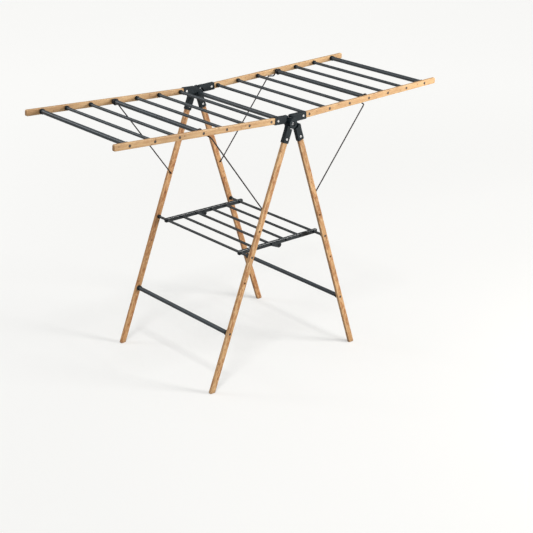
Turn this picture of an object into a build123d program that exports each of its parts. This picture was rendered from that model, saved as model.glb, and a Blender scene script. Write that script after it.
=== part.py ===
from build123d import *
import math
import os

# Free-standing folding clothes airer: two A-frame leg pairs in bamboo, two
# gull wings of steel tube in bamboo rails, a folding rod shelf between the
# legs and four wire struts.  Millimetres.  X runs along the wings, Y is
# depth (near side is -Y), Z is up, the origin is on the floor under the hub.

# ---------------------------------------------------------------- dimensions
SPAN = 1500.0            # wing tip to wing tip, along the rails
PIVOT_H = 937.0          # height of the hub axis
WING_TILT = 2.2          # each wing rises this much towards its tip, degrees
LEG_ANGLE = 19.72        # each leg from the vertical, degrees

BAR_H = 22.0             # bamboo bar section, deep side
BAR_T = 12.0             # bamboo bar section, thin side
BAR_R = 2.2              # rounding of the bar's long edges

RAIL_Y0, RAIL_Y1 = 247.0, 259.0     # wing rail, inner and outer face
LEG_Y0, LEG_Y1 = 264.5, 276.5       # leg, inner and outer face
RAIL_OFF = 14.0          # rail centre line above the hub axis
LEG_OFF = 14.0           # leg centre line outward of the hub axis
RAIL_START = 24.0        # where the rail begins inside its hub cap
RAIL_END = SPAN / 2.0
LEG_START = 22.0

TUBE_FIRST = 90.0        # first wing tube from the hub axis
TUBE_PITCH = 100.0
TUBE_COUNT = 7
THICK_TUBES = (4, 7)     # strut tube and end tube
THIN_D, THIN_WALL = 11.0, 0.6
THICK_D, THICK_WALL = 16.0, 0.8

FERRULE_LEN = 8.0
FERRULE_WALL = 1.5
THIN_FERRULE_D = 16.0
THICK_FERRULE_D = 20.0

SLEEVE_WALL_H = 2.5      # wing hub cap wall above and below a rail
LEG_SLEEVE_WALL_H = 1.8  # leg hub cap wall each side of a leg
SLEEVE_GAP = 0.1
WING_SLEEVE_Y0, WING_SLEEVE_Y1 = 244.9, 261.1
LEG_SLEEVE_Y0, LEG_SLEEVE_Y1 = 262.3, 278.7
WING_SLEEVE_IN, WING_SLEEVE_OUT = 22.0, 73.5
LEG_SLEEVE_IN, LEG_SLEEVE_OUT = 19.5, 72.0
CAP_RIVET_AT = 60.0
LEG_RIVET_AT = 58.0

BOSS_R = 18.0
LEG_BOSS_R = 17.5
RW_BOSS = (266.6, 275.0)     # right wing boss, outermost
LL_BOSS = (260.6, 266.2)     # left leg boss
RL_BOSS = (255.0, 260.2)     # right leg boss
LW_BOSS = (244.9, 254.6)     # left wing boss, innermost
BOLT_D = 8.0
BOLT_HOLE_D = 8.1
BOLT_HEAD_D, BOLT_HEAD_T = 12.0, 3.0
BOLT_RECESS_D, BOLT_RECESS_FLOOR = 16.0, 2.0

HOLE_A, HOLE_B = 394.3, 584.9        # plain holes along each leg
SHELF_AT = 489.8                     # shelf tube along each leg
CROSSBAR_AT = 775.7                  # lower crossbar along each leg
STRUT_AT = 319.0                     # strut socket along each leg
LEG_HOLE_D = 7.0
LEG_HOLE_DEPTH = 8.0     # blind, from the outer face

SHELF_TUBE_D, SHELF_TUBE_WALL = 9.5, 0.7
SHELF_BAR_Y0, SHELF_BAR_Y1 = 206.5, 217.0
SHELF_BAR_H = 17.0
SHELF_BAR_R = 3.2
SHELF_DROP = 10.0        # middle hinge below the shelf's tube plane
SHELF_LUG_R = 10.0
SHELF_LUG_Y0, SHELF_LUG_Y1 = 217.3, 221.8
SHELF_FERRULE_D = 14.5
SHELF_END_Y = 264.2      # outer tubes stop just short of the legs

ROD_D = 4.6
ROD_EYE_Y = 235.6
ROD_RUN_Y = 261.75
ROD_EYE_CLEAR = 0.05
ROD_LEAVE = 138.8        # where the wire leaves its eye, degrees
ROD_TAIL = 26.0          # eye to the dogleg

SCREW_HEAD_D, SCREW_HEAD_T = 7.6, 1.6
SCREW_RECESS_D, SCREW_RECESS_T = 9.4, 2.1
SCREW_SHANK_D = 4.0
SCREW_HOLE_D = 4.1

os.makedirs("parts", exist_ok=True)

T = math.radians(WING_TILT)
B = math.radians(LEG_ANGLE)


# ------------------------------------------------------------------- helpers
def frame(angle, y):
    """Sketch plane at the hub axis: local x along `angle` in the XZ plane, local y 90 degrees on, extruding towards -Y."""
    return Plane(
        origin=(0, y, PIVOT_H),
        x_dir=(math.cos(angle), 0, math.sin(angle)),
        z_dir=(0, -1, 0),
    )


WING_A = T
LEG_A = -math.pi / 2 + B


def prism(sketch, angle, y0, y1):
    return extrude(frame(angle, y1) * sketch, amount=y1 - y0)


def box_sk(u0, u1, w0, w1):
    return Pos((u0 + u1) / 2, (w0 + w1) / 2) * Rectangle(u1 - u0, w1 - w0)


def disc(u, w, r):
    return Pos(u, w) * Circle(r)


def ring_prism(angle, u, w, r_out, r_in, y0, y1):
    s = disc(u, w, r_out)
    if r_in > 0:
        s = s - disc(u, w, r_in)
    return prism(s, angle, y0, y1)


def at(angle, u, w, y):
    """World point of local (u, w) at depth y."""
    c, s = math.cos(angle), math.sin(angle)
    return (u * c - w * s, y, PIVOT_H + u * s + w * c)


def mx(shape):
    return mirror(shape, Plane.YZ)


def my(shape):
    return mirror(shape, Plane.XZ)


def save(name, *shapes):
    solids = []
    for sh in shapes:
        for s in sh.solids():
            solids.append(s)
    out = solids[0] if len(solids) == 1 else Compound(children=solids)
    export_step(out, "parts/%s.step" % name)


def long_edges(shape, direction):
    d = Vector(*direction).normalized()
    keep = []
    for e in shape.edges():
        if e.geom_type == GeomType.LINE:
            v = (e @ 1) - (e @ 0)
            if abs(abs(v.normalized().dot(d)) - 1) < 1e-3 and e.length > 40:
                keep.append(e)
    return keep


def screw_solid(angle, u, w, face_y, tip_y):
    """Pan-head cross-recess screw driven from the outer face towards the middle."""
    top = face_y - (SCREW_RECESS_T - SCREW_HEAD_T)
    head = ring_prism(angle, u, w, SCREW_HEAD_D / 2, 0, top - SCREW_HEAD_T, top)
    rim = [e for e in head.edges() if abs(e.center().Y - top) < 1e-3]
    head = fillet(rim, 0.55)
    shank = ring_prism(angle, u, w, SCREW_SHANK_D / 2, 0, tip_y, top - SCREW_HEAD_T)
    cross = box_sk(u - 2.2, u + 2.2, w - 0.5, w + 0.5) + box_sk(
        u - 0.5, u + 0.5, w - 2.2, w + 2.2
    )
    return (head + shank) - prism(cross, angle, top - 0.9, top + 0.2)


def rivet_solid(angle, u, w, y_in, y_out, proud):
    """Two-headed binding rivet through a hub cap and the bar inside it."""
    shank = ring_prism(angle, u, w, 2.5, 0, y_in + 1.3, y_out - 1.3)
    inner = ring_prism(angle, u, w, 4.2, 0, y_in + 0.1, y_in + 1.4)
    outer = ring_prism(angle, u, w, 4.2, 0, y_out - 1.4, y_out + proud)
    rim = [e for e in outer.edges() if abs(e.center().Y - (y_out + proud)) < 1e-3]
    outer = fillet(rim, min(0.6, 0.9 * (proud + 0.3)))
    body = shank + inner + outer
    slot = box_sk(u - 2.6, u + 2.6, w - 0.5, w + 0.5) + box_sk(
        u - 0.5, u + 0.5, w - 2.6, w + 2.6
    )
    return body - prism(slot, angle, y_out + proud - 0.7, y_out + proud + 0.5)


def ferrule_solid(angle, u, w, face_y, tube_d, wall, outer_d, length, pin_d):
    """Plastic end fitting: a collar over the tube's end, a plug inside it and a bore for the screw."""
    y_in = face_y - length
    collar = ring_prism(
        angle, u, w, outer_d / 2, tube_d / 2 + 0.05, y_in, face_y - FERRULE_WALL
    )
    end = ring_prism(angle, u, w, outer_d / 2, 0, face_y - FERRULE_WALL, face_y)
    plug = ring_prism(
        angle, u, w, tube_d / 2 - wall - 0.05, 0, face_y - 20.0, face_y - FERRULE_WALL
    )
    part = collar + end + plug
    rim = [
        e
        for e in part.edges()
        if abs(e.center().Y - y_in) < 1e-3 and abs(e.radius - outer_d / 2) < 1e-3
    ]
    part = fillet(rim, 0.8)
    return part - ring_prism(angle, u, w, pin_d / 2, 0, face_y - 19.0, face_y + 1)


def tube_solid(angle, u, w, d, wall, half):
    return ring_prism(angle, u, w, d / 2, d / 2 - wall, -half, half)


# ------------------------------------------------------- wing rail (right, far)
def tube_u(i):
    return TUBE_FIRST + (i - 1) * TUBE_PITCH


def tube_d(i):
    return THICK_D if i in THICK_TUBES else THIN_D


def tube_wall(i):
    return THICK_WALL if i in THICK_TUBES else THIN_WALL


def ferrule_d(i):
    return THICK_FERRULE_D if i in THICK_TUBES else THIN_FERRULE_D


def wing_rail():
    sk = box_sk(RAIL_START, RAIL_END, RAIL_OFF - BAR_H / 2, RAIL_OFF + BAR_H / 2)
    tips = [v for v in sk.vertices() if v.X > RAIL_END - 1]
    sk = fillet(tips, 5.0)
    body = prism(sk, WING_A, RAIL_Y0, RAIL_Y1)
    body = fillet(long_edges(body, (math.cos(T), 0, math.sin(T))), BAR_R)
    for i in range(1, TUBE_COUNT + 1):
        body -= ring_prism(
            WING_A, tube_u(i), RAIL_OFF, SCREW_HOLE_D / 2, 0, RAIL_Y0 - 1, RAIL_Y1 + 1
        )
        body -= ring_prism(
            WING_A,
            tube_u(i),
            RAIL_OFF,
            SCREW_RECESS_D / 2,
            0,
            RAIL_Y1 - SCREW_RECESS_T,
            RAIL_Y1 + 1,
        )
    body -= ring_prism(WING_A, CAP_RIVET_AT, RAIL_OFF, 2.6, 0, RAIL_Y0 - 1, RAIL_Y1 + 1)
    return body


def sleeve(angle, s0, s1, off, y0, y1, wall):
    """Rounded box over a bar's end, with its pocket and the recess for the rivet's flush head."""
    h = BAR_H / 2 + wall
    sk = box_sk(s0, s1, off - h, off + h)
    body = prism(sk, angle, y0, y1)
    body = fillet(
        [e for e in body.edges() if e.geom_type == GeomType.LINE and e.length > 30], 1.6
    )
    return body


def pocket(angle, start, s1, off, bar_y0, bar_y1):
    g = SLEEVE_GAP
    sk = box_sk(start - 0.4, s1 + 1, off - BAR_H / 2 - g, off + BAR_H / 2 + g)
    return prism(sk, angle, bar_y0 - g, bar_y1 + g)


def rivet_cut(angle, u, w, y0, y1):
    a = ring_prism(angle, u, w, 2.6, 0, y0 - 1, y1 + 1)
    b = ring_prism(angle, u, w, 4.3, 0, y0 - 1, y0 + 1.45)
    c = ring_prism(angle, u, w, 4.3, 0, y1 - 1.45, y1 + 1)
    return a + b + c


def hull_disc(r, pts):
    sk = disc(0, 0, r) + make_face(Polyline(*pts, close=True))
    return make_hull(sk.edges())


TOPW = RAIL_OFF + BAR_H / 2 + SLEEVE_WALL_H
ARM_U, ARM_W = 10.5, 24.2        # outer and upper edge of the right wing's arm


def cap_right_wing():
    """Outermost boss; the arm passes over the leg bosses to reach the rail's plane."""
    plate = prism(
        hull_disc(BOSS_R, [(1, 19.4), (ARM_U, 19.4), (ARM_U, ARM_W), (1, ARM_W)]),
        WING_A,
        *RW_BOSS,
    )
    arm = prism(box_sk(1, ARM_U, 19.4, ARM_W), WING_A, WING_SLEEVE_Y0, RW_BOSS[1])
    body = sleeve(
        WING_A,
        WING_SLEEVE_IN,
        WING_SLEEVE_OUT,
        RAIL_OFF,
        WING_SLEEVE_Y0,
        WING_SLEEVE_Y1,
        SLEEVE_WALL_H,
    )
    neck = prism(
        make_face(
            Polyline(
                (1, 19.4), (14, 19.4), (22.5, 8.0), (24, 8.0), (24, TOPW), (5, TOPW), (1, ARM_W),
                close=True,
            )
        ),
        WING_A,
        WING_SLEEVE_Y0,
        WING_SLEEVE_Y1,
    )
    keep = disc(0, 0, 60) - disc(0, 0, 22.0) + box_sk(0, 40, 19.4, 40)
    neck &= prism(keep, WING_A, WING_SLEEVE_Y0 - 1, WING_SLEEVE_Y1 + 1)
    body = body + arm + neck + plate
    body -= pocket(WING_A, RAIL_START, WING_SLEEVE_OUT, RAIL_OFF, RAIL_Y0, RAIL_Y1)
    body -= rivet_cut(WING_A, CAP_RIVET_AT, RAIL_OFF, WING_SLEEVE_Y0, WING_SLEEVE_Y1)
    body -= ring_prism(WING_A, 0, 0, BOLT_HOLE_D / 2, 0, 200, 300)
    body -= ring_prism(
        WING_A, 0, 0, BOLT_RECESS_D / 2, 0, RW_BOSS[0] + BOLT_RECESS_FLOOR, 300
    )
    rim = [
        e
        for e in body.edges()
        if e.geom_type == GeomType.CIRCLE
        and abs(e.center().Y - RW_BOSS[1]) < 1e-3
        and abs(e.radius - BOSS_R) < 1e-3
    ]
    try:
        body = fillet(rim, 1.2)
    except Exception:
        pass
    return body


def cap_left_wing():
    """Innermost boss, in line with its rail (built on the right, mirrored)."""
    web = make_face(
        Polyline(
            (0, 17.8), (5.5, 19.6), (13, TOPW), (23, TOPW), (23, 4), (10, 0), (0, 0),
            close=True,
        )
    )
    boss = prism(disc(0, 0, BOSS_R) + web, WING_A, *LW_BOSS)
    body = sleeve(
        WING_A,
        WING_SLEEVE_IN,
        WING_SLEEVE_OUT,
        RAIL_OFF,
        WING_SLEEVE_Y0,
        WING_SLEEVE_Y1,
        SLEEVE_WALL_H,
    )
    body = body + boss
    body -= pocket(WING_A, RAIL_START, WING_SLEEVE_OUT, RAIL_OFF, RAIL_Y0, RAIL_Y1)
    body -= rivet_cut(WING_A, CAP_RIVET_AT, RAIL_OFF, WING_SLEEVE_Y0, WING_SLEEVE_Y1)
    body -= ring_prism(WING_A, 0, 0, BOLT_HOLE_D / 2, 0, 200, 300)
    return body


# --------------------------------------------------------------- legs (right)
def foot_s(p):
    """Distance along the leg at which the line p off its axis meets the floor."""
    return (PIVOT_H + p * math.sin(B)) / math.cos(B)


def leg_bar():
    p0, p1 = LEG_OFF - BAR_H / 2, LEG_OFF + BAR_H / 2
    sk = make_face(
        Polyline(
            (LEG_START, p0), (foot_s(p0), p0), (foot_s(p1), p1), (LEG_START, p1), close=True
        )
    )
    sk = fillet([v for v in sk.vertices() if v.X > 500], 4.0)
    body = prism(sk, LEG_A, LEG_Y0, LEG_Y1)
    body = fillet(long_edges(body, (math.sin(B), 0, -math.cos(B))), BAR_R)
    for s in (HOLE_A, HOLE_B):
        body -= ring_prism(
            LEG_A, s, LEG_OFF, LEG_HOLE_D / 2, 0, LEG_Y1 - LEG_HOLE_DEPTH, LEG_Y1 + 1
        )
    for s in (SHELF_AT, CROSSBAR_AT):
        body -= ring_prism(LEG_A, s, LEG_OFF, SCREW_HOLE_D / 2, 0, LEG_Y0 - 1, LEG_Y1 + 1)
        body -= ring_prism(
            LEG_A, s, LEG_OFF, SCREW_RECESS_D / 2, 0, LEG_Y1 - SCREW_RECESS_T, LEG_Y1 + 1
        )
    body -= ring_prism(LEG_A, STRUT_AT, LEG_OFF, 2.6, 0, LEG_Y0 - 1, LEG_Y0 + 7)
    body -= ring_prism(LEG_A, LEG_RIVET_AT, LEG_OFF, 2.6, 0, LEG_Y0 - 1, LEG_Y1 + 1)
    return body


def cap_leg(boss):
    """Leg hub cap: a sleeve with a shoulder rising towards the hub, and a flat boss in its own layer of the stack."""
    body = sleeve(
        LEG_A,
        LEG_SLEEVE_IN,
        LEG_SLEEVE_OUT,
        LEG_OFF,
        LEG_SLEEVE_Y0,
        LEG_SLEEVE_Y1,
        LEG_SLEEVE_WALL_H,
    )
    edge = LEG_OFF + BAR_H / 2 + LEG_SLEEVE_WALL_H
    shoulder = make_face(
        Polyline(
            (24, 8), (12.5, 17.5), (11.0, 22.8), (11.4, 25.2), (13.4, edge), (24, edge),
            close=True,
        )
    ) - disc(0, 0, 21.7)
    body = body + prism(shoulder, LEG_A, LEG_SLEEVE_Y0, LEG_SLEEVE_Y1)
    web = prism(
        (disc(0, 0, LEG_BOSS_R) + box_sk(0, 17.2, 0.7, 16.4)) & disc(0, 0, 21.2),
        LEG_A,
        *boss,
    )
    body = body + web
    if boss[1] > LEG_SLEEVE_Y0:
        body = body + prism(box_sk(14.0, 22.0, 1.2, 16.4), LEG_A, LEG_SLEEVE_Y0, boss[1])
        jog = box_sk(8.0, 21.4, 1.2, 14.5) & disc(0, 0, 21.4)
    else:
        jog = (box_sk(10.0, 21.4, 1.2, 16.4) & disc(0, 0, 21.4)) - disc(0, 0, 17.9)
        foot = box_sk(16.0, 22.0, 1.2, 16.4) - disc(0, 0, 17.9)
        body = body + prism(foot, LEG_A, LEG_SLEEVE_Y0 - 0.8, LEG_SLEEVE_Y0 + 1.0)
    body = body + prism(jog, LEG_A, boss[0], LEG_SLEEVE_Y0 + 1.0)
    body -= pocket(LEG_A, LEG_START, LEG_SLEEVE_OUT, LEG_OFF, LEG_Y0, LEG_Y1)
    body -= rivet_cut(LEG_A, LEG_RIVET_AT, LEG_OFF, LEG_SLEEVE_Y0, LEG_SLEEVE_Y1)
    body -= ring_prism(LEG_A, 0, 0, BOLT_HOLE_D / 2, 0, 200, 300)
    return body


# ------------------------------------------------------------------ wings
rail_rf = wing_rail()
cap_rw = cap_right_wing()
cap_lw = cap_left_wing()

for side, flip in (("right", lambda s: s), ("left", mx)):
    cap = cap_rw if side == "right" else cap_lw
    save("wing_%s_rail_far" % side, flip(rail_rf))
    save("wing_%s_rail_near" % side, my(flip(rail_rf)))
    save("wing_%s_hub_cap_far" % side, flip(cap))
    save("wing_%s_hub_cap_near" % side, my(flip(cap)))
    ferrules, screws = [], []
    for i in range(1, TUBE_COUNT + 1):
        u = tube_u(i)
        tube = tube_solid(
            WING_A, u, RAIL_OFF, tube_d(i), tube_wall(i), RAIL_Y0 - FERRULE_WALL - 0.1
        )
        save("wing_%s_tube_%d" % (side, i), flip(tube))
        fer = ferrule_solid(
            WING_A,
            u,
            RAIL_OFF,
            RAIL_Y0,
            tube_d(i),
            tube_wall(i),
            ferrule_d(i),
            FERRULE_LEN,
            SCREW_HOLE_D,
        )
        scr = screw_solid(WING_A, u, RAIL_OFF, RAIL_Y1, RAIL_Y0 - 17.0)
        ferrules += [flip(fer), my(flip(fer))]
        screws += [flip(scr), my(flip(scr))]
    riv = rivet_solid(
        WING_A, CAP_RIVET_AT, RAIL_OFF, WING_SLEEVE_Y0, WING_SLEEVE_Y1, 0.1
    )
    screws += [flip(riv), my(flip(riv))]
    save("wing_%s_tube_ferrules" % side, *ferrules)
    save("wing_%s_screws" % side, *screws)

# ------------------------------------------------------------------- legs
leg_rf = leg_bar()
cap_ll = cap_leg(LL_BOSS)
cap_rl = cap_leg(RL_BOSS)
crossbar = tube_solid(
    LEG_A, CROSSBAR_AT, LEG_OFF, THICK_D, THICK_WALL, LEG_Y0 - FERRULE_WALL - 0.1
)
cross_fer = ferrule_solid(
    LEG_A,
    CROSSBAR_AT,
    LEG_OFF,
    LEG_Y0,
    THICK_D,
    THICK_WALL,
    THICK_FERRULE_D,
    10.0,
    SCREW_HOLE_D,
)
for side, flip in (("right", lambda s: s), ("left", mx)):
    save("leg_%s_far" % side, flip(leg_rf))
    save("leg_%s_near" % side, my(flip(leg_rf)))
    cap = cap_rl if side == "right" else cap_ll
    save("leg_%s_hub_cap_far" % side, flip(cap))
    save("leg_%s_hub_cap_near" % side, my(flip(cap)))
    save("leg_%s_crossbar" % side, flip(crossbar))
    save("leg_%s_crossbar_ferrules" % side, flip(cross_fer), my(flip(cross_fer)))
    bar_screw = screw_solid(LEG_A, CROSSBAR_AT, LEG_OFF, LEG_Y1, LEG_Y0 - 17.0)
    # the left pair's shelf screws are the shelf's hinge pins; the right
    # pair's stop in the leg, where the folding shelf's loop is opened
    shelf_tip = SHELF_END_Y - 15.0 if side == "left" else LEG_Y0 + 0.2
    shelf_screw = screw_solid(LEG_A, SHELF_AT, LEG_OFF, LEG_Y1, shelf_tip)
    riv = rivet_solid(LEG_A, LEG_RIVET_AT, LEG_OFF, LEG_SLEEVE_Y0, LEG_SLEEVE_Y1, 0.9)
    group = []
    for s in (bar_screw, shelf_screw, riv):
        group += [flip(s), my(flip(s))]
    save("leg_%s_screws" % side, *group)

# ------------------------------------------------------------ hub axle, bolts
AXLE_HALF = LW_BOSS[0] - 0.4
axle = ring_prism(0, 0, 0, THICK_D / 2, 0, -AXLE_HALF, AXLE_HALF)
axle -= ring_prism(0, 0, 0, THICK_D / 2 - THICK_WALL, 0, -AXLE_HALF + 26, AXLE_HALF - 26)
for sgn in (-1, 1):
    y0, y1 = sorted((sgn * (AXLE_HALF + 1), sgn * (AXLE_HALF - 22)))
    axle -= ring_prism(0, 0, 0, BOLT_HOLE_D / 2, 0, y0, y1)
save("pivot_axle_tube", axle)

HEAD_Y0 = RW_BOSS[0] + BOLT_RECESS_FLOOR + 0.1
bolt = ring_prism(0, 0, 0, BOLT_D / 2, 0, AXLE_HALF - 21, HEAD_Y0)
head = ring_prism(0, 0, 0, BOLT_HEAD_D / 2, 0, HEAD_Y0, HEAD_Y0 + BOLT_HEAD_T)
head = fillet(
    [e for e in head.edges() if abs(e.center().Y - HEAD_Y0 - BOLT_HEAD_T) < 1e-3], 1.0
)
hexcut = extrude(
    frame(0, HEAD_Y0 + BOLT_HEAD_T + 1) * RegularPolygon(2.9, 6), amount=3.2
)
bolt = bolt + head - hexcut
save("pivot_bolts", bolt, my(bolt))

# ------------------------------------------------------------------ shelf
sx, _, sz = at(LEG_A, SHELF_AT, LEG_OFF, 0)     # outer shelf tube axis, right
SH_PITCH = 2 * sx / 5


def sh_tube(x, half):
    w = Plane(origin=(x, half, sz), x_dir=(1, 0, 0), z_dir=(0, -1, 0))
    sk = Circle(SHELF_TUBE_D / 2) - Circle(SHELF_TUBE_D / 2 - SHELF_TUBE_WALL)
    return extrude(w * sk, amount=2 * half)


def sh_prism(sk, y0, y1):
    w = Plane(origin=(0, y1, sz), x_dir=(1, 0, 0), z_dir=(0, -1, 0))
    return extrude(w * sk, amount=y1 - y0)


def sh_cyl(x, z, r, y0, y1):
    return sh_prism(Pos(x, z) * Circle(r), y0, y1)


hb = SHELF_BAR_H / 2
SH_END_L, SH_END_R = sx + 11.0, sx + 17.0


def shelf_bar(left):
    """One half of a side bar, far side; `left` carries the outer lug of the middle hinge."""
    if left:
        sk = make_face(
            Polyline(
                (-SH_END_L, -hb),
                (-11.2, -hb),
                (-11.2, 0.6),
                (-0.4, 0.6),
                (-0.4, hb),
                (-SH_END_L, hb),
                close=True,
            )
        )
        corners = [v for v in sk.vertices() if v.X < -SH_END_L + 1]
    else:
        sk = make_face(
            Polyline(
                (0.4, hb), (SH_END_R, hb), (SH_END_R, -hb), (0.4, -hb), close=True
            )
        )
        corners = [v for v in sk.vertices() if v.X > SH_END_R - 1]
    sk = fillet(corners, 6.0)
    body = sh_prism(sk, SHELF_BAR_Y0, SHELF_BAR_Y1)
    body = fillet(long_edges(body, (1, 0, 0)), SHELF_BAR_R)
    if left:
        lug = make_hull(
            (
                Pos(0, -SHELF_DROP) * Circle(SHELF_LUG_R)
                + (Pos(-25, -0.5) * Rectangle(22, 12))
            ).edges()
        )
        body += sh_prism(lug, SHELF_LUG_Y0, SHELF_LUG_Y1)
        body += sh_prism(
            Pos(-24, -0.5) * Rectangle(20, 12), SHELF_BAR_Y1 - 0.5, SHELF_LUG_Y1
        )
        body -= sh_cyl(0, -SHELF_DROP, 2.5, SHELF_BAR_Y0 - 9, SHELF_LUG_Y1 + 9)
        xs = [-sx, -sx + SH_PITCH, -sx + 2 * SH_PITCH]
    else:
        lug = Pos(0, -SHELF_DROP) * Circle(SHELF_LUG_R) + (
            Pos(4.9, -6.0) * Rectangle(9.0, 6.0)
        )
        body += sh_prism(lug, SHELF_BAR_Y0, SHELF_BAR_Y1)
        body -= sh_cyl(0, -SHELF_DROP, 2.55, SHELF_BAR_Y0 - 9, SHELF_LUG_Y1 + 9)
        xs = [sx, sx - SH_PITCH, sx - 2 * SH_PITCH]
    for x in xs:
        body -= sh_cyl(x, 0, SHELF_TUBE_D / 2 + 0.05, SHELF_BAR_Y0 - 1, SHELF_BAR_Y1 + 1)
    return body


bar_l, bar_r = shelf_bar(True), shelf_bar(False)
save("shelf_left_bar_far", bar_l)
save("shelf_left_bar_near", my(bar_l))
save("shelf_right_bar_far", bar_r)
save("shelf_right_bar_near", my(bar_r))

for k in range(6):
    x = -sx + k * SH_PITCH
    half = SHELF_END_Y - FERRULE_WALL - 0.1 if k in (0, 5) else SHELF_BAR_Y1 - 0.1
    save("shelf_tube_%d" % (k + 1), sh_tube(x, half))


def shelf_ferrule(x):
    y1 = SHELF_END_Y
    f = sh_prism(
        Pos(x, 0) * (Circle(SHELF_FERRULE_D / 2) - Circle(SHELF_TUBE_D / 2 + 0.05)),
        y1 - FERRULE_LEN,
        y1 - FERRULE_WALL,
    )
    f += sh_cyl(x, 0, SHELF_FERRULE_D / 2, y1 - FERRULE_WALL, y1)
    f += sh_cyl(x, 0, SHELF_TUBE_D / 2 - SHELF_TUBE_WALL - 0.05, y1 - 18, y1 - FERRULE_WALL)
    rim = [
        e
        for e in f.edges()
        if abs(e.center().Y - (y1 - FERRULE_LEN)) < 1e-3
        and abs(e.radius - SHELF_FERRULE_D / 2) < 1e-3
    ]
    f = fillet(rim, 0.8)
    return f - sh_cyl(x, 0, SCREW_HOLE_D / 2, y1 - 16.0, y1 + 1)


fl, fr = shelf_ferrule(-sx), shelf_ferrule(sx)
save("shelf_left_ferrules", fl, my(fl))
save("shelf_right_ferrules", fr, my(fr))

pin = sh_cyl(0, -SHELF_DROP, 2.5, SHELF_BAR_Y0 - 0.4, SHELF_LUG_Y1 + 0.2)
ph1 = sh_cyl(0, -SHELF_DROP, 4.5, SHELF_LUG_Y1, SHELF_LUG_Y1 + 1.6)
ph0 = sh_cyl(0, -SHELF_DROP, 4.0, SHELF_BAR_Y0 - 1.6, SHELF_BAR_Y0 - 0.4)
ph1 = fillet(
    [e for e in ph1.edges() if abs(e.center().Y - SHELF_LUG_Y1 - 1.6) < 1e-3], 1.0
)
pin = pin + ph1 + ph0
save("shelf_hinge_pins", pin, my(pin))

# ----------------------------------------------------------------- struts
tu = tube_u(4)
EYE_R = THICK_D / 2 + ROD_D / 2 + ROD_EYE_CLEAR


def strut():
    """Wire strut, right far: an eye round the fourth tube, a dogleg under the rail and a straight run down to the leg."""
    a = math.radians(ROD_LEAVE)
    c = at(WING_A, tu, RAIL_OFF, ROD_EYE_Y)
    pl = Plane(origin=c, x_dir=(math.cos(T), 0, math.sin(T)), z_dir=(0, -1, 0))
    # loop: a closed ring of wire, with the tail leaving it on a tangent
    ring = Solid.make_torus(EYE_R, ROD_D / 2, pl)
    p0 = (tu + EYE_R * math.cos(a), RAIL_OFF + EYE_R * math.sin(a))
    t = (-math.sin(a), math.cos(a))
    q1 = (p0[0] + t[0] * ROD_TAIL, p0[1] + t[1] * ROD_TAIL)
    q2 = (tu + 34.0 * math.cos(math.radians(211)), RAIL_OFF + 34.0 * math.sin(math.radians(211)))
    lx, _, lz = at(LEG_A, STRUT_AT, LEG_OFF, 0)
    pts = [
        at(WING_A, p0[0], p0[1], ROD_EYE_Y),
        at(WING_A, q1[0], q1[1], ROD_EYE_Y + 0.4),
        at(WING_A, q2[0], q2[1], ROD_RUN_Y),
        (lx, ROD_RUN_Y, lz),
    ]
    path = FilletPolyline(*pts, radius=5.0)
    start = path @ 0
    prof = Plane(origin=start, z_dir=path % 0) * Circle(ROD_D / 2)
    tail = sweep(prof, path=path)
    end = path @ 1
    tip = Solid.make_sphere(
        ROD_D / 2, Plane(origin=end), angle1=-90, angle2=90, angle3=360
    )
    body = ring + tail + tip
    return body


rod = strut()
save("strut_rod_right_far", rod)
save("strut_rod_right_near", my(rod))
save("strut_rod_left_far", mx(rod))
save("strut_rod_left_near", my(mx(rod)))
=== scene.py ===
import math

import bpy
from mathutils import Matrix, Vector

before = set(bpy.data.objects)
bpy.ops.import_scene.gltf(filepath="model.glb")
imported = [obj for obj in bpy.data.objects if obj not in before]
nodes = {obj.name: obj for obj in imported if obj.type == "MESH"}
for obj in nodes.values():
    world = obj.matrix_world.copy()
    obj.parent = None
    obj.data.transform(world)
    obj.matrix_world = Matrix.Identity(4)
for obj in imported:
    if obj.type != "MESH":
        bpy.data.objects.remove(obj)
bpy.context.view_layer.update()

scene = bpy.context.scene

# ------------------------------------------------------------------ geometry facts, metres
HUB_H = 0.937            # hub axis above the floor
TILT = math.radians(2.2)             # wing rise
LEG_DIR = math.radians(-90 + 19.72)  # right leg direction in the XZ plane
BAR_HW, BAR_HT = 0.011, 0.006        # half depth and half thickness of a bamboo bar
RAIL_Y, LEG_Y = 0.253, 0.2705        # middle of a rail and of a leg


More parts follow.
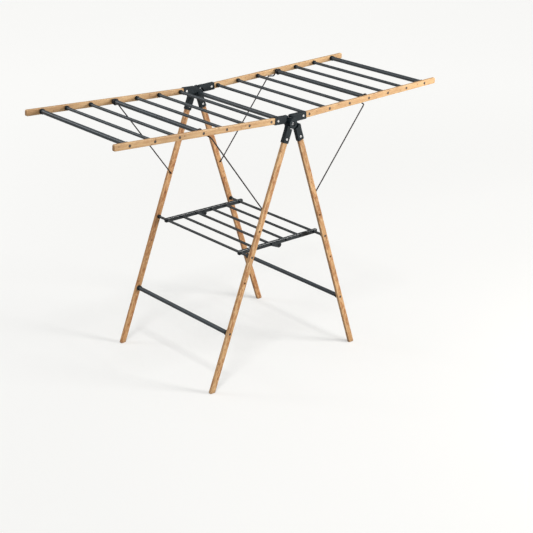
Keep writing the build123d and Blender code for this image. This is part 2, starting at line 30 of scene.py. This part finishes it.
# ------------------------------------------------------------------ node graph helper
class Graph:
    """A small writer for material node trees."""

    def __init__(self, name):
        self.mat = bpy.data.materials.new(name)
        self.mat.use_nodes = True
        self.nt = self.mat.node_tree
        self.nt.nodes.clear()
        self.out = self.nt.nodes.new("ShaderNodeOutputMaterial")
        self.bsdf = self.nt.nodes.new("ShaderNodeBsdfPrincipled")
        self.nt.links.new(self.bsdf.outputs[0], self.out.inputs[0])
        self.tc = self.nt.nodes.new("ShaderNodeTexCoord")
        self.pos = self.tc.outputs["Object"]
        self.nrm = self.tc.outputs["Normal"]

    def put(self, sock, v):
        if isinstance(v, bpy.types.NodeSocket):
            self.nt.links.new(v, sock)
        else:
            sock.default_value = v

    def math(self, op, a, b=0.0, c=None, clamp=False):
        n = self.nt.nodes.new("ShaderNodeMath")
        n.operation = op
        n.use_clamp = clamp
        self.put(n.inputs[0], a)
        self.put(n.inputs[1], b)
        if c is not None:
            self.put(n.inputs[2], c)
        return n.outputs[0]

    def vmath(self, op, a, b=(0, 0, 0), scale=None):
        n = self.nt.nodes.new("ShaderNodeVectorMath")
        n.operation = op
        self.put(n.inputs[0], a)
        if op != "SCALE":
            self.put(n.inputs[1], b)
        if scale is not None:
            self.put(n.inputs["Scale"], scale)
        return n.outputs["Value"] if op in ("DOT_PRODUCT", "LENGTH", "DISTANCE") else n.outputs[0]

    def mapping(self, vec, loc=(0, 0, 0), rot=(0, 0, 0), scale=(1, 1, 1)):
        n = self.nt.nodes.new("ShaderNodeMapping")
        n.vector_type = "POINT"
        self.put(n.inputs["Vector"], vec)
        n.inputs["Location"].default_value = loc
        n.inputs["Rotation"].default_value = rot
        n.inputs["Scale"].default_value = scale
        return n.outputs[0]

    def sep(self, vec):
        n = self.nt.nodes.new("ShaderNodeSeparateXYZ")
        self.put(n.inputs[0], vec)
        return n.outputs[0], n.outputs[1], n.outputs[2]

    def comb(self, x, y, z):
        n = self.nt.nodes.new("ShaderNodeCombineXYZ")
        for s, v in zip(n.inputs, (x, y, z)):
            self.put(s, v)
        return n.outputs[0]

    def noise(self, vec, scale, detail=2.0, rough=0.5, distortion=0.0):
        n = self.nt.nodes.new("ShaderNodeTexNoise")
        n.noise_dimensions = "3D"
        self.put(n.inputs["Vector"], vec)
        n.inputs["Scale"].default_value = scale
        n.inputs["Detail"].default_value = detail
        n.inputs["Roughness"].default_value = rough
        n.inputs["Distortion"].default_value = distortion
        return n.outputs[0]

    def voronoi(self, vec, scale, feature="F1", rand=1.0):
        n = self.nt.nodes.new("ShaderNodeTexVoronoi")
        n.feature = feature
        self.put(n.inputs["Vector"], vec)
        n.inputs["Scale"].default_value = scale
        n.inputs["Randomness"].default_value = rand
        return n.outputs["Distance"]

    def white(self, vec):
        n = self.nt.nodes.new("ShaderNodeTexWhiteNoise")
        n.noise_dimensions = "3D"
        self.put(n.inputs["Vector"], vec)
        return n.outputs["Value"]

    def step(self, v, lo, hi, a=0.0, b=1.0):
        """Smooth step of v from lo to hi, giving a to b."""
        n = self.nt.nodes.new("ShaderNodeMapRange")
        n.interpolation_type = "SMOOTHSTEP"
        self.put(n.inputs["Value"], v)
        n.inputs["From Min"].default_value = lo
        n.inputs["From Max"].default_value = hi
        n.inputs["To Min"].default_value = a
        n.inputs["To Max"].default_value = b
        return n.outputs[0]

    def mix(self, fac, a, b, blend="MIX"):
        n = self.nt.nodes.new("ShaderNodeMix")
        n.data_type = "RGBA"
        n.blend_type = blend
        self.put(n.inputs[0], fac)
        self.put(n.inputs[6], a if isinstance(a, bpy.types.NodeSocket) else (*a, 1.0))
        self.put(n.inputs[7], b if isinstance(b, bpy.types.NodeSocket) else (*b, 1.0))
        return n.outputs[2]

    def ramp(self, fac, stops):
        n = self.nt.nodes.new("ShaderNodeValToRGB")
        self.put(n.inputs[0], fac)
        cr = n.color_ramp
        while len(cr.elements) < len(stops):
            cr.elements.new(0.5)
        for e, (p, c) in zip(cr.elements, stops):
            e.position = p
            e.color = (*c, 1.0)
        return n.outputs[0]

    def bump(self, height, dist, strength=1.0, normal=None):
        n = self.nt.nodes.new("ShaderNodeBump")
        n.inputs["Strength"].default_value = strength
        n.inputs["Distance"].default_value = dist
        self.put(n.inputs["Height"], height)
        if normal is not None:
            self.put(n.inputs["Normal"], normal)
        return n.outputs[0]

    def edge(self, radius):
        """0 on a face, towards 1 on a convex or concave edge within radius."""
        b = self.nt.nodes.new("ShaderNodeBevel")
        b.samples = 6
        b.inputs["Radius"].default_value = radius
        g = self.nt.nodes.new("ShaderNodeNewGeometry")
        d = self.vmath("DOT_PRODUCT", b.outputs[0], g.outputs["Normal"])
        return self.step(d, 0.995, 0.86)

    def finish(self, color, rough, normal=None, **const):
        b = self.bsdf
        self.put(b.inputs["Base Color"], color)
        self.put(b.inputs["Roughness"], rough)
        if normal is not None:
            self.put(b.inputs["Normal"], normal)
        for k, v in const.items():
            b.inputs[k.replace("_", " ")].default_value = v
        return self.mat


# ------------------------------------------------------------------ bamboo
PALE = (0.780, 0.520, 0.268)
WARM = (0.640, 0.375, 0.168)
DEEP = (0.440, 0.225, 0.095)
NODE = (0.260, 0.120, 0.048)


def bamboo(name, theta, loc, w0, y0, seed, holes, tone=(1.0, 1.0, 1.0), shade=0.0):
    """Side-pressed bamboo bar: glued strips along the bar, fibre bundles, node marks, drilled holes, rounded edges rubbed paler and open end grain.
    theta and loc turn the row frame into (along, thickness, depth); w0 and y0 are the bar's middle; holes are the drilled centres along it."""
    g = Graph(name)
    p = g.mapping(g.pos, loc=loc, rot=(0, theta, 0))
    u, y, w = g.sep(p)
    # the bar's own axes, with a slow wander so that no line is ruler straight
    slow = g.noise(g.comb(g.math("MULTIPLY", u, 1.0), seed * 1.7, 0.0), 5.0, 2.0)
    wob = g.math("MULTIPLY", g.math("SUBTRACT", slow, 0.5), 0.0011)
    wl = g.math("ADD", g.math("SUBTRACT", w, w0), wob)
    yl = g.math("ADD", g.math("SUBTRACT", y, y0), g.math("MULTIPLY", wob, 0.6))
    # glued strips
    sw, sy = 0.0056, 0.0062
    fw = g.math("DIVIDE", g.math("ADD", wl, 0.0112), sw)
    fy = g.math("DIVIDE", g.math("ADD", yl, 0.0062), sy)
    iw, iy = g.math("FLOOR", fw), g.math("FLOOR", fy)
    sid = g.comb(iw, iy, seed)
    r1 = g.white(sid)
    r2 = g.white(g.vmath("ADD", sid, (11.3, 4.1, 7.7)))
    r3 = g.white(g.vmath("ADD", sid, (3.9, 17.1, 2.2)))
    # strips are finger jointed end to end, so tone also changes along a strip
    seg = g.math("FLOOR", g.math("ADD", g.math("MULTIPLY", u, 2.1), g.math("MULTIPLY", r2, 5.0)))
    r4 = g.white(g.comb(seg, iw, g.math("ADD", iy, seed)))
    tone_v = g.math("ADD", g.math("MULTIPLY", r1, 0.5), g.math("MULTIPLY", r4, 0.5))
    # broad tone along the bar
    broad = g.noise(g.comb(g.math("MULTIPLY", u, 9.0), g.math("MULTIPLY", wl, 60.0), g.math("ADD", g.math("MULTIPLY", yl, 60.0), seed)), 1.0, 3.0, 0.55)
    streak_p = g.comb(g.math("MULTIPLY", u, 11.0), g.math("MULTIPLY", wl, 620.0), g.math("ADD", g.math("MULTIPLY", yl, 620.0), g.math("MULTIPLY", r3, 40.0)))
    streak = g.noise(streak_p, 1.0, 3.0, 0.6)
    fibre_p = g.comb(g.math("MULTIPLY", u, 42.0), g.math("MULTIPLY", wl, 2600.0), g.math("ADD", g.math("MULTIPLY", yl, 2600.0), g.math("MULTIPLY", r3, 90.0)))
    fibre = g.noise(fibre_p, 1.0, 2.0, 0.5)
    dash = g.step(fibre, 0.56, 0.70)
    k = g.math("ADD", g.math("MULTIPLY", tone_v, 0.50), g.math("ADD", g.math("MULTIPLY", broad, 0.95), g.math("MULTIPLY", streak, 0.62)))
    k = g.math("SUBTRACT", k, 0.60 - shade)
    col = g.ramp(k, [(0.05, PALE), (0.45, tuple(0.5 * (a + b) for a, b in zip(PALE, WARM))), (0.70, WARM), (1.0, DEEP)])
    col = g.mix(g.math("MULTIPLY", dash, 0.34), col, DEEP)
    # darker caramel stretches where the strips were steamed longer
    steam_p = g.comb(g.math("ADD", g.math("MULTIPLY", u, 22.0), seed * 2.3), g.math("MULTIPLY", wl, 95.0), g.math("MULTIPLY", yl, 95.0))
    steam = g.step(g.noise(steam_p, 1.0, 3.0, 0.6), 0.45, 0.61)
    light_p = g.comb(g.math("ADD", g.math("MULTIPLY", u, 58.0), seed * 4.1), g.math("MULTIPLY", wl, 170.0), g.math("MULTIPLY", yl, 170.0))
    light = g.step(g.noise(light_p, 1.0, 2.0, 0.55), 0.50, 0.66)
    col = g.mix(g.math("MULTIPLY", steam, 0.24 + 8.5 * shade), col, (0.41, 0.158, 0.050))
    col = g.mix(g.math("MULTIPLY", light, 0.16 + 7.5 * shade), col, (0.90, 0.66, 0.385))
    # node marks: a short band across each strip at its own place
    per = 0.262
    t = g.math("FRACT", g.math("ADD", g.math("DIVIDE", u, per), g.math("MULTIPLY", r2, 7.0)))
    jag = g.math("MULTIPLY", g.math("SUBTRACT", g.noise(g.comb(0.0, g.math("MULTIPLY", wl, 900.0), g.math("MULTIPLY", yl, 900.0)), 1.0, 1.0), 0.5), 0.0030)
    d_s = g.math("ADD", g.math("MULTIPLY", g.math("SUBTRACT", t, 0.5), per), jag)
    d = g.math("ABSOLUTE", d_s)
    halo = g.step(d, 0.0105, 0.0015)
    band = g.step(d, 0.0030, 0.0008)
    line = g.step(g.math("ABSOLUTE", g.math("SUBTRACT", d_s, 0.0016)), 0.0008, 0.0002)
    col = g.mix(g.math("MULTIPLY", halo, 0.20), col, DEEP)
    col = g.mix(g.math("MULTIPLY", band, 0.48), col, NODE)
    col = g.mix(g.math("MULTIPLY", line, 0.42), col, (0.20, 0.085, 0.035))
    # glue lines
    gw = g.math("MULTIPLY", g.math("ABSOLUTE", g.math("SUBTRACT", g.math("FRACT", g.math("ADD", fw, 0.5)), 0.5)), sw)
    gy = g.math("MULTIPLY", g.math("ABSOLUTE", g.math("SUBTRACT", g.math("FRACT", g.math("ADD", fy, 0.5)), 0.5)), sy)
    glue = g.math("MAXIMUM", g.step(gw, 0.00026, 0.00006), g.step(gy, 0.00026, 0.00006))
    col = g.mix(g.math("MULTIPLY", glue, 0.36), col, (0.30, 0.15, 0.06))
    # rounded long edges, rubbed a little paler and drier in places
    aw = g.math("ABSOLUTE", g.math("SUBTRACT", w, w0))
    ay = g.math("ABSOLUTE", g.math("SUBTRACT", y, y0))
    edge = g.math("MULTIPLY", g.step(aw, 0.0084, 0.0103), g.step(ay, 0.0035, 0.0053))
    patch = g.step(g.noise(g.comb(g.math("MULTIPLY", u, 26.0), g.math("MULTIPLY", wl, 120.0), seed), 1.0, 4.0, 0.65), 0.42, 0.62)
    worn = g.math("MULTIPLY", edge, patch)
    col = g.mix(g.math("MULTIPLY", worn, 0.38), col, (0.86, 0.66, 0.43))
    # drilled holes: rim darkened by the cutter, painted shade darkening the bore and recess, and a little dust in the
    # bore
    rough = g.math("ADD", 0.40, g.math("MULTIPLY", broad, 0.16))
    rim_burn_and_bore_shade = None
    for h, ri, ro in holes:
        if h is None:      # a row of holes at the tube pitch
            f = g.math("FRACT", g.math("ADD", g.math("DIVIDE", g.math("SUBTRACT", u, 0.090), 0.100), 0.5))
            du = g.math("MULTIPLY", g.math("SUBTRACT", f, 0.5), 0.100)
        else:
            du = g.math("SUBTRACT", u, h)
        rr = g.vmath("LENGTH", g.comb(du, g.math("SUBTRACT", w, w0), 0.0))
        m = g.step(rr, ro, ri)
        rim_burn_and_bore_shade = m if rim_burn_and_bore_shade is None else g.math("MAXIMUM", rim_burn_and_bore_shade, m)
    if rim_burn_and_bore_shade is not None:
        # painted shade in the bores and screw recesses, with the cutter-darkened rim around them
        col = g.mix(g.math("MULTIPLY", rim_burn_and_bore_shade, 0.62), col, (0.17, 0.075, 0.032))
        rough = g.math("ADD", rough, g.math("MULTIPLY", rim_burn_and_bore_shade, 0.2))
    # end grain
    end = g.math("ABSOLUTE", g.vmath("DOT_PRODUCT", g.nrm, (math.cos(theta), 0.0, math.sin(theta))))
    endm = g.step(end, 0.70, 0.92)
    pores = g.step(g.voronoi(g.comb(0.0, yl, wl), 1500.0), 0.42, 0.16)
    endc = g.mix(g.math("MULTIPLY", pores, 0.75), (0.50, 0.275, 0.125), (0.19, 0.085, 0.035))
    col = g.mix(endm, col, endc)
    # scuffed and a little grey where it stands on the floor
    _, _, z = g.sep(g.pos)
    foot = g.math("MULTIPLY", g.step(z, 0.020, 0.002), g.step(g.noise(g.pos, 260.0, 3.0), 0.35, 0.6))
    col = g.mix(g.math("MULTIPLY", foot, 0.35), col, (0.16, 0.12, 0.09))
    if tone != (1.0, 1.0, 1.0):
        col = g.mix(1.0, col, tone, "MULTIPLY")
    rough = g.math("ADD", rough, g.math("ADD", g.math("MULTIPLY", dash, 0.08), g.math("ADD", g.math("MULTIPLY", worn, 0.12), g.math("MULTIPLY", endm, 0.22))), clamp=True)
    # relief: fibre texture, sunken glue lines, slightly raised nodes
    hgt = g.math("ADD", g.math("MULTIPLY", fibre, 0.30), g.math("MULTIPLY", streak, 0.25))
    hgt = g.math("SUBTRACT", hgt, g.math("MULTIPLY", glue, 0.55))
    hgt = g.math("ADD", hgt, g.math("MULTIPLY", halo, 0.75))
    hgt = g.math("SUBTRACT", hgt, g.math("MULTIPLY", line, 0.45))
    hgt = g.math("SUBTRACT", hgt, g.math("MULTIPLY", g.math("MULTIPLY", pores, endm), 0.9))
    nrm = g.bump(hgt, 0.00011, 0.85)
    return g.finish(col, rough, nrm, Coat_Weight=0.16, Coat_Roughness=0.34, Specular_IOR_Level=0.42)


def bar_space(theta):
    """Mapping location so that the hub axis is the origin of (along, thickness, depth)."""
    return (-HUB_H * math.sin(theta), 0.0, -HUB_H * math.cos(theta))


RAIL_HOLES = [(None, 0.0046, 0.0058)]
LEG_HOLES = [(0.3190, 0.0022, 0.0040), (0.3943, 0.0034, 0.0052), (0.4898, 0.0034, 0.0056), (0.5849, 0.0034, 0.0052), (0.7757, 0.0044, 0.0060)]
bars = {}
for side, theta, sgn in (("right", TILT, 1.0), ("left", math.pi - TILT, -1.0)):
    for k, (near, ys) in enumerate((("near", -1.0), ("far", 1.0))):
        n = "wing_%s_rail_%s" % (side, near)
        bars[n] = bamboo("bamboo_" + n, theta, bar_space(theta), 0.014 * sgn, RAIL_Y * ys, 3.0 + k * 5 + (9 if sgn < 0 else 0), RAIL_HOLES, shade=0.0)
for side, theta, sgn in (("right", LEG_DIR, 1.0), ("left", math.pi - LEG_DIR, -1.0)):
    for k, (near, ys) in enumerate((("near", -1.0), ("far", 1.0))):
        n = "leg_%s_%s" % (side, near)
        bars[n] = bamboo("bamboo_" + n, theta, bar_space(theta), 0.014 * sgn, LEG_Y * ys, 31.0 + k * 6 + (13 if sgn < 0 else 0), LEG_HOLES, tone=(0.99, 0.93, 0.88) if near == "near" else (0.98, 0.85, 0.76), shade=0.06)


# ------------------------------------------------------------------ powder coated steel tube
def tube_paint(name, seed, base=(0.029, 0.040, 0.049)):
    """Slate powder coat on steel tube: fine orange peel, a few pale specks, faint lengthwise rub marks from hangers."""
    g = Graph(name)
    x, y, z = g.sep(g.pos)
    off = g.vmath("ADD", g.pos, (seed, 0.0, seed * 0.3))
    cloud = g.noise(off, 14.0, 4.0, 0.6)
    peel = g.noise(off, 620.0, 2.0, 0.45)
    fine = g.noise(off, 2600.0, 1.0, 0.5)
    speck = g.step(g.voronoi(off, 420.0), 0.115, 0.05)
    rub = g.noise(g.comb(g.math("MULTIPLY", x, 520.0), g.math("ADD", g.math("MULTIPLY", y, 9.0), seed), g.math("MULTIPLY", z, 520.0)), 1.0, 3.0, 0.6)
    rubm = g.math("MULTIPLY", g.step(rub, 0.56, 0.72), g.step(cloud, 0.42, 0.60))
    lo = tuple(c * 0.80 for c in base)
    hi = tuple(c * 1.28 for c in base)
    col = g.mix(g.step(cloud, 0.30, 0.72), lo, hi)
    col = g.mix(g.math("MULTIPLY", peel, 0.30), col, tuple(c * 1.55 for c in base))
    col = g.mix(g.math("MULTIPLY", speck, 0.30), col, (0.16, 0.18, 0.19))
    col = g.mix(g.math("MULTIPLY", rubm, 0.26), col, (0.12, 0.135, 0.145))
    rough = g.math("ADD", g.math("ADD", 0.34, g.math("MULTIPLY", cloud, 0.12)), g.math("MULTIPLY", rubm, 0.14))
    hgt = g.math("ADD", g.math("MULTIPLY", peel, 0.8), g.math("MULTIPLY", fine, 0.2))
    nrm = g.bump(hgt, 0.00006, 0.7)
    return g.finish(col, rough, nrm, Specular_IOR_Level=0.55, Coat_Weight=0.10, Coat_Roughness=0.30)


# ------------------------------------------------------------------ moulded plastic
def plastic(name, seed, base=(0.0055, 0.0120, 0.0160), part=None, edge_r=0.0009, gloss=0.44, spec=0.30):
    """Black moulded nylon: fine spark texture, faint flow clouds, a parting line, and edges a little glossier with a
    painted highlight along them.
    """
    g = Graph(name)
    x, y, z = g.sep(g.pos)
    off = g.vmath("ADD", g.pos, (seed, seed * 0.7, 0.0))
    cloud = g.noise(off, 42.0, 4.0, 0.6, 0.4)
    grain = g.noise(off, 1700.0, 2.0, 0.55)
    pits = g.step(g.voronoi(off, 900.0), 0.30, 0.10)
    e = g.edge(edge_r)
    scr = g.step(g.noise(g.comb(g.math("MULTIPLY", x, 900.0), g.math("MULTIPLY", y, 120.0), g.math("MULTIPLY", z, 160.0)), 1.0, 2.0), 0.66, 0.76)
    col = g.mix(g.step(cloud, 0.32, 0.70), tuple(c * 0.82 for c in base), tuple(c * 1.30 for c in base))
    col = g.mix(g.math("MULTIPLY", grain, 0.22), col, tuple(c * 1.8 for c in base))
    # painted highlight: a paler blue grey laid along every edge
    col = g.mix(g.math("MULTIPLY", e, 0.40), col, (0.046, 0.066, 0.080))
    col = g.mix(g.math("MULTIPLY", scr, 0.10), col, (0.07, 0.08, 0.09))
    rough = g.math("ADD", gloss, g.math("SUBTRACT", g.math("MULTIPLY", cloud, 0.14), g.math("MULTIPLY", e, 0.10)))
    hgt = g.math("SUBTRACT", g.math("MULTIPLY", grain, 0.7), g.math("MULTIPLY", pits, 0.4))
    if part is not None:
        dl = g.math("ABSOLUTE", g.math("SUBTRACT", g.math("ABSOLUTE", y), part))
        ridge = g.step(dl, 0.00022, 0.00005)
        hgt = g.math("ADD", hgt, g.math("MULTIPLY", ridge, 1.4))
        col = g.mix(g.math("MULTIPLY", ridge, 0.25), col, (0.075, 0.085, 0.09))
    nrm = g.bump(hgt, 0.00007, 0.8)
    return g.finish(col, rough, nrm, Specular_IOR_Level=spec)


# ------------------------------------------------------------------ wire
def strut_wire(name, seed):
    """Dark lacquered spring wire: drawn lines along it and the lacquer thinned to brown metal in places."""
    g = Graph(name)
    off = g.vmath("ADD", g.pos, (seed, 0.0, seed))
    cloud = g.noise(off, 30.0, 4.0, 0.6)
    draw = g.noise(off, 1900.0, 2.0, 0.6)
    chip = g.step(g.noise(off, 240.0, 4.0, 0.6), 0.60, 0.68)
    col = g.mix(g.step(cloud, 0.3, 0.7), (0.016, 0.014, 0.014), (0.036, 0.030, 0.028))
    col = g.mix(g.math("MULTIPLY", draw, 0.30), col, (0.060, 0.050, 0.045))
    col = g.mix(g.math("MULTIPLY", chip, 0.45), col, (0.20, 0.150, 0.115))
    rough = g.math("ADD", 0.30, g.math("ADD", g.math("MULTIPLY", cloud, 0.16), g.math("MULTIPLY", chip, 0.12)))
    nrm = g.bump(g.math("SUBTRACT", draw, g.math("MULTIPLY", chip, 0.8)), 0.00003, 0.7)
    return g.finish(col, rough, nrm, Metallic=0.30, Specular_IOR_Level=0.4)


# ------------------------------------------------------------------ zinc plated hardware
def zinc(name, seed, base=(0.66, 0.66, 0.645), dull=0.0, split=False, metal=0.92):
    """Zinc plate: bright metal with a fine tumbled finish, small dull blotches, and painted shade darkening the
    hollows.
    """
    g = Graph(name)
    off = g.vmath("ADD", g.pos, (seed, seed, 0.0))
    blotch = g.noise(off, 340.0, 4.0, 0.6)
    tumble = g.noise(off, 2400.0, 2.0, 0.6)
    lines = g.noise(g.comb(g.math("MULTIPLY", g.sep(off)[0], 5200.0), 0.0, g.math("MULTIPLY", g.sep(off)[2], 900.0)), 1.0, 2.0)
    ao = g.nt.nodes.new("ShaderNodeAmbientOcclusion")
    ao.samples = 6
    ao.inputs["Distance"].default_value = 0.0016
    hollow_shade_mask = g.step(ao.outputs["AO"], 0.85, 0.35)
    col = g.mix(g.step(blotch, 0.35, 0.70), base, tuple(c * 0.70 for c in base))
    col = g.mix(g.math("MULTIPLY", tumble, 0.25), col, tuple(c * 0.55 for c in base))
    # painted shade: ambient occlusion darkens the hollows and recesses towards near black
    col = g.mix(g.math("MULTIPLY", hollow_shade_mask, 0.40 if split else 0.75), col, (0.060, 0.052, 0.045))
    if split:
        # the cap rivets round the hub are bright, the countersunk tube screws are dark plated
        px, py, pz = g.sep(g.pos)
        far = g.step(g.vmath("LENGTH", g.comb(px, 0.0, g.math("SUBTRACT", pz, HUB_H))), 0.078, 0.082)
        dark = g.mix(blotch, (0.085, 0.085, 0.088), (0.150, 0.145, 0.140))
        # painted shade in the hollows of the dark plated screws as well
        dark = g.mix(g.math("MULTIPLY", hollow_shade_mask, 0.8), dark, (0.02, 0.017, 0.015))
        col = g.mix(far, col, dark)
    rough = g.math("ADD", 0.24 + dull, g.math("ADD", g.math("MULTIPLY", blotch, 0.16), g.math("MULTIPLY", hollow_shade_mask, 0.25)))
    nrm = g.bump(g.math("ADD", tumble, g.math("MULTIPLY", lines, 0.5)), 0.00003, 0.6)
    return g.finish(col, rough, nrm, Metallic=metal)


thick_paint = tube_paint("tube_paint_thick", 1.3)
thin_paint = tube_paint("tube_paint_thin", 4.7)
axle_paint = tube_paint("tube_paint_axle", 8.1, (0.040, 0.050, 0.058))
shelf_paint = tube_paint("tube_paint_shelf", 12.9, (0.017, 0.023, 0.028))
wing_cap = plastic("black_plastic_wing_cap", 2.0, part=RAIL_Y)
leg_cap = plastic("black_plastic_leg_cap", 5.0, part=LEG_Y)
ferrule = plastic("black_plastic_ferrule", 9.0, edge_r=0.0005, gloss=0.40)
bar_plastic = plastic("shelf_bar_paint", 14.0, base=(0.0045, 0.0090, 0.0125), part=0.2145, edge_r=0.0007, gloss=0.21, spec=0.66)
wire = strut_wire("strut_wire_lacquer", 3.0)
bright = zinc("zinc_screw_bright", 1.0, (0.93, 0.93, 0.92), 0.10, split=True, metal=0.40)
bolt = zinc("zinc_screw_bolt", 6.0, (0.42, 0.43, 0.44), 0.06)
dark_pin = zinc("zinc_screw_dark", 11.0, (0.050, 0.052, 0.056), 0.08)

for name, ob in nodes.items():
    if name in bars:
        m = bars[name]
    elif "hub_cap" in name:
        m = wing_cap if name.startswith("wing") else leg_cap
    elif "ferrules" in name:
        m = ferrule
    elif name == "pivot_axle_tube":
        m = axle_paint
    elif name == "pivot_bolts":
        m = bolt
    elif "_screws" in name:
        m = bright
    elif name == "shelf_hinge_pins":
        m = dark_pin
    elif name.startswith("strut_rod"):
        m = wire
    elif "_bar_" in name:
        m = bar_plastic
    elif name.startswith("shelf_tube"):
        m = shelf_paint
    elif "crossbar" in name:
        m = thick_paint
    elif name.endswith("_tube_4") or name.endswith("_tube_7"):
        m = thick_paint
    elif "_tube_" in name:
        m = thin_paint
    else:
        m = bar_plastic
    ob.data.materials.clear()
    ob.data.materials.append(m)

# ------------------------------------------------------------------ floor
half = 30.0
FLOOR_GLOW = 0.395
fm = bpy.data.meshes.new("floor")
fm.from_pydata(
    [(-half, -half, 0), (half, -half, 0), (half, half, 0), (-half, half, 0)], [], [(0, 1, 2, 3)]
)
fm.update()
floor = bpy.data.objects.new("floor", fm)
scene.collection.objects.link(floor)
g = Graph("studio_floor")
tex = g.noise(g.pos, 900.0, 2.0)
floor_col = g.mix(g.math("MULTIPLY", tex, 0.10), (0.540, 0.540, 0.533), (0.515, 0.515, 0.508))
g.finish(floor_col, 0.9, g.bump(tex, 0.0001, 0.2), Specular_IOR_Level=0.0)
g.bsdf.inputs["Emission Color"].default_value = (1.0, 1.0, 0.985, 1.0)
far_f = g.step(g.vmath("LENGTH", g.vmath("SUBTRACT", g.pos, (0.3, -0.5, 0.0))), 0.6, 5.0)
key_f = g.step(g.vmath("LENGTH", g.vmath("SUBTRACT", g.pos, (1.3, -1.6, 0.0))), 2.4, 0.3)
glow = g.math("SUBTRACT", g.math("ADD", FLOOR_GLOW, g.math("MULTIPLY", far_f, 0.145)), g.math("MULTIPLY", key_f, 0.17))
g.nt.links.new(glow, g.bsdf.inputs["Emission Strength"])
lpn = g.nt.nodes.new("ShaderNodeLightPath")
dim = g.nt.nodes.new("ShaderNodeBsdfDiffuse")
dim.inputs["Color"].default_value = (0.42, 0.42, 0.41, 1.0)
mixn = g.nt.nodes.new("ShaderNodeMixShader")
g.nt.links.new(lpn.outputs["Is Camera Ray"], mixn.inputs[0])
g.nt.links.new(dim.outputs[0], mixn.inputs[1])
g.nt.links.new(g.bsdf.outputs[0], mixn.inputs[2])
g.nt.links.new(mixn.outputs[0], g.out.inputs[0])
fm.materials.append(g.mat)

# ------------------------------------------------------------------ light
world = bpy.data.worlds.new("studio")
scene.world = world
world.use_nodes = True
wn = world.node_tree
wn.nodes.clear()
wo = wn.nodes.new("ShaderNodeOutputWorld")
bg_l = wn.nodes.new("ShaderNodeBackground")
bg_c = wn.nodes.new("ShaderNodeBackground")
lp = wn.nodes.new("ShaderNodeLightPath")
mx_ = wn.nodes.new("ShaderNodeMixShader")
# soft dome, brighter overhead
tcw = wn.nodes.new("ShaderNodeTexCoord")
sepw = wn.nodes.new("ShaderNodeSeparateXYZ")
wn.links.new(tcw.outputs["Generated"], sepw.inputs[0])
mrw = wn.nodes.new("ShaderNodeMapRange")
mrw.inputs["From Min"].default_value = 0.0
mrw.inputs["From Max"].default_value = 0.9
mrw.inputs["To Min"].default_value = 0.26
mrw.inputs["To Max"].default_value = 0.50
wn.links.new(sepw.outputs[2], mrw.inputs["Value"])
wn.links.new(mrw.outputs[0], bg_l.inputs[1])
bg_l.inputs[0].default_value = (1.0, 0.995, 0.985, 1)
bg_c.inputs[0].default_value = (0.947, 0.947, 0.930, 1)
bg_c.inputs[1].default_value = 1.0
wn.links.new(lp.outputs["Is Camera Ray"], mx_.inputs[0])
wn.links.new(bg_l.outputs[0], mx_.inputs[1])
wn.links.new(bg_c.outputs[0], mx_.inputs[2])
wn.links.new(mx_.outputs[0], wo.inputs[0])


def aim(ob, target):
    d = Vector(target) - ob.location
    ob.rotation_mode = "QUATERNION"
    ob.rotation_quaternion = d.to_track_quat("-Z", "Y")


def area(name, at, target, size, power, color=(1, 1, 1)):
    l = bpy.data.lights.new(name, "AREA")
    l.shape = "DISK"
    l.size = size
    l.energy = power
    l.color = color
    o = bpy.data.objects.new(name, l)
    o.location = at
    scene.collection.objects.link(o)
    aim(o, target)
    return o


sun = bpy.data.lights.new("sky_sun", "SUN")
sun.energy = 1.0
sun.angle = math.radians(11)
sun_o = bpy.data.objects.new("sky_sun", sun)
sun_o.location = (-0.6, -1.3, 4.0)
scene.collection.objects.link(sun_o)
aim(sun_o, (0.45, 0.10, 0.0))
area("key_right_front", (1.60, -2.30, 1.45), (0.25, 0.0, 0.75), 0.9, 62.0, (1.0, 0.985, 0.96))
area("back_strip", (-2.0, 2.5, 2.5), (0.0, 0.0, 0.8), 1.0, 20.0, (0.96, 0.98, 1.0))

# ------------------------------------------------------------------ camera
az, el, roll = (math.radians(v) for v in (42.274, 21.955, 1.665))
fw_ = Vector((math.cos(el) * math.sin(az), math.cos(el) * math.cos(az), -math.sin(el)))
right = Vector((math.cos(az), -math.sin(az), 0.0))
up = right.cross(fw_)
r2 = right * math.cos(roll) + up * math.sin(roll)
u2 = up * math.cos(roll) - right * math.sin(roll)
cam_d = bpy.data.cameras.new("camera")
cam_d.sensor_width = 36.0
cam_d.lens = 1322.47 * 36.0 / 533.0
cam_d.clip_start, cam_d.clip_end = 0.05, 200.0
cam = bpy.data.objects.new("camera", cam_d)
m = Matrix((r2, u2, -fw_)).transposed().to_4x4()
m.translation = Vector((-3.04991, -3.51096, 2.19270))
cam.matrix_world = m
scene.collection.objects.link(cam)
scene.camera = cam

scene.view_settings.view_transform = "Standard"
scene.view_settings.look = "None"
scene.view_settings.exposure = 0.0
scene.view_settings.gamma = 1.0
